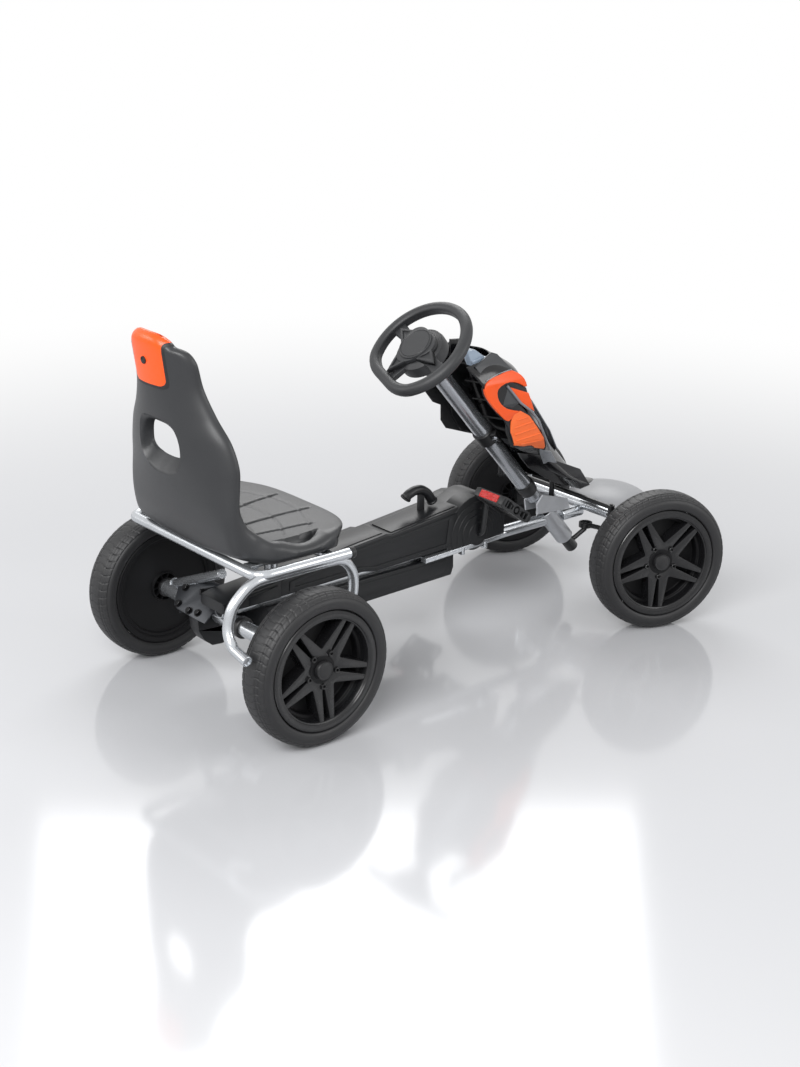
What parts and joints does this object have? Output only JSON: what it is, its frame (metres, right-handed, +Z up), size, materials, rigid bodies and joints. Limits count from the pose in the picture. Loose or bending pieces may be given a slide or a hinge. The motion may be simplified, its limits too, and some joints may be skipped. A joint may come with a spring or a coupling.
{
  "type": "pedal racing kart",
  "caption": "Child's pedal racing kart with a moulded seat, tube frame, hand brake, steered front wheels, front shield and chain drive to the rear axle",
  "frame": {"origin": "bottom centre of the bounding box, on the ground between the wheels", "axes": "+X forward, +Y to the driver's left, +Z up"},
  "size_m": [1.223, 0.6344, 0.7013],
  "materials": {
    "zinc_plated_steel": "bright zinc plating",
    "grey_metallic_paint": "grey metallic paint",
    "black_plastic": "satin moulded",
    "black_gloss_plastic": "semi-gloss moulded",
    "tyre_rubber": "satin rubber with fine tread",
    "orange_plastic": "satin moulded",
    "black_painted_steel": "black paint",
    "bright_steel": "plain bright",
    "red_reflector": "moulded prism reflector",
    "silver_plastic": "metallic silver moulded",
    "tinted_screen": "smoked blue"
  },
  "bodies": {
    "frame": {"axle_bearing_left": "black_plastic", "axle_bearing_right": "black_plastic", "axle_tube_left": "zinc_plated_steel", "axle_tube_right": "zinc_plated_steel", "beam_cover": "black_gloss_plastic", "chain": "bright_steel", "column_bush": "black_plastic", "column_clamp": "black_plastic", "column_lower_sleeve": "grey_metallic_paint", "column_upper_sleeve": "grey_metallic_paint", "fairing_panels": "orange_plastic", "fairing_ridge": "silver_plastic", "fairing_screen": "tinted_screen", "fairing_shell": "black_gloss_plastic", "front_axle_beam": "zinc_plated_steel", "front_nose": "silver_plastic", "head_tube": "grey_metallic_paint", "lower_guard": "black_plastic", "main_tube": "zinc_plated_steel", "rear_bracket": "grey_metallic_paint", "seat": "black_plastic", "seat_bar": "zinc_plated_steel", "seat_bar_plug_left": "black_plastic", "seat_bar_plug_right": "black_plastic", "seat_cap": "orange_plastic", "seat_support": "zinc_plated_steel", "side_hoop": "zinc_plated_steel", "steering_bush_lower": "black_plastic", "steering_bush_upper": "black_plastic"},
    "rear_axle": {"rear_axle": "bright_steel", "rear_sprocket": "bright_steel", "tyre_rear_right": "tyre_rubber", "rim_rear_right": "black_gloss_plastic", "hub_cap_rear_right": "black_plastic"},
    "wheel_rear_left": {"tyre_rear_left": "tyre_rubber", "rim_rear_left": "black_gloss_plastic", "hub_cap_rear_left": "black_plastic"},
    "wheel_front_left": {"tyre_front_left": "tyre_rubber", "rim_front_left": "black_gloss_plastic", "hub_cap_front_left": "black_plastic"},
    "wheel_front_right": {"tyre_front_right": "tyre_rubber", "rim_front_right": "black_gloss_plastic", "hub_cap_front_right": "black_plastic"},
    "spindle_left": {"spindle_left": "black_painted_steel"},
    "spindle_right": {"spindle_right": "black_painted_steel"},
    "steering": {"steering_shaft": "bright_steel", "steering_arm": "black_plastic", "steering_wheel": "black_plastic", "steering_hub_cover": "black_gloss_plastic"},
    "track_rod": {"track_rod": "black_painted_steel"},
    "drag_link": {"drag_link": "black_painted_steel"},
    "crank": {"crank": "black_painted_steel", "chainwheel": "bright_steel"},
    "pedal_left": {"pedal_left": "black_plastic", "pedal_reflector_left": "red_reflector"},
    "pedal_right": {"pedal_right": "black_plastic", "pedal_reflector_right": "red_reflector"},
    "brake_lever": {"brake_lever": "black_plastic", "brake_grip": "black_plastic"},
    "brake_rod": {"brake_rod": "bright_steel"}
  },
  "joints": [
    {"name": "rear_axle_spin", "type": "hinge", "parent": "frame", "child": "rear_axle", "pos_m": [-0.4362, 0, 0.14], "axis": [0, 1, 0], "continuous": true},
    {"name": "rear_left_spin", "type": "hinge", "parent": "frame", "child": "wheel_rear_left", "pos_m": [-0.4362, 0.2435, 0.14], "axis": [0, 1, 0], "continuous": true},
    {"name": "steering_turn", "type": "hinge", "parent": "frame", "child": "steering", "pos_m": [-0.0182, 0, 0.592], "axis": [0.6634, 0, -0.7483], "range_deg": [-49.5, 10.5]},
    {"name": "steer_left", "type": "hinge", "parent": "frame", "child": "spindle_left", "pos_m": [0.4438, 0.161, 0.14], "axis": [0, 0, 1], "range_deg": [-10.5, 49.5]},
    {"name": "steer_right", "type": "hinge", "parent": "frame", "child": "spindle_right", "pos_m": [0.4438, -0.161, 0.14], "axis": [0, 0, 1], "range_deg": [-10.5, 49.5]},
    {"name": "front_left_spin", "type": "hinge", "parent": "spindle_left", "child": "wheel_front_left", "pos_m": [0.47344, 0.24471, 0.14], "axis": [0.3338, 0.9426, 0], "continuous": true},
    {"name": "front_right_spin", "type": "hinge", "parent": "spindle_right", "child": "wheel_front_right", "pos_m": [0.41416, -0.24471, 0.14], "axis": [0.3338, 0.9426, 0], "continuous": true},
    {"name": "track_rod_turn", "type": "hinge", "parent": "spindle_left", "child": "track_rod", "pos_m": [0.38724, 0.18103, 0.2235], "axis": [0, 0, 1], "range_deg": [-49.5, 10.5]},
    {"name": "drag_link_turn", "type": "hinge", "parent": "spindle_right", "child": "drag_link", "pos_m": [0.48622, -0.17602, 0.1385], "axis": [0, 0, 1], "range_deg": [-49.5, 10.5]},
    {"name": "crank_spin", "type": "hinge", "parent": "frame", "child": "crank", "pos_m": [0.1238, 0, 0.1965], "axis": [0, 1, 0], "continuous": true},
    {"name": "pedal_left_spin", "type": "hinge", "parent": "crank", "child": "pedal_left", "pos_m": [0.1149, 0.086, 0.12404], "axis": [0, 1, 0], "continuous": true},
    {"name": "pedal_right_spin", "type": "hinge", "parent": "crank", "child": "pedal_right", "pos_m": [0.1327, -0.0475, 0.26896], "axis": [0, 1, 0], "continuous": true},
    {"name": "brake_pull", "type": "hinge", "parent": "frame", "child": "brake_lever", "pos_m": [0.0183, 0.012, 0.2], "axis": [0, -1, 0], "range_deg": [0, 18]},
    {"name": "brake_rod_slide", "type": "slide", "parent": "frame", "child": "brake_rod", "axis": [1, 0, 0], "range_m": [0, 0.00315]}
  ],
  "couplings": [
    {"joint": "rear_axle_spin", "follows": "crank_spin", "ratio": 1.5},
    {"joint": "steer_left", "follows": "steering_turn", "ratio": -1},
    {"joint": "steer_right", "follows": "steering_turn", "ratio": -1},
    {"joint": "track_rod_turn", "follows": "steering_turn", "ratio": 1},
    {"joint": "drag_link_turn", "follows": "steering_turn", "ratio": 1},
    {"joint": "brake_rod_slide", "follows": "brake_pull", "m_per_rad": 0.01}
  ]
}
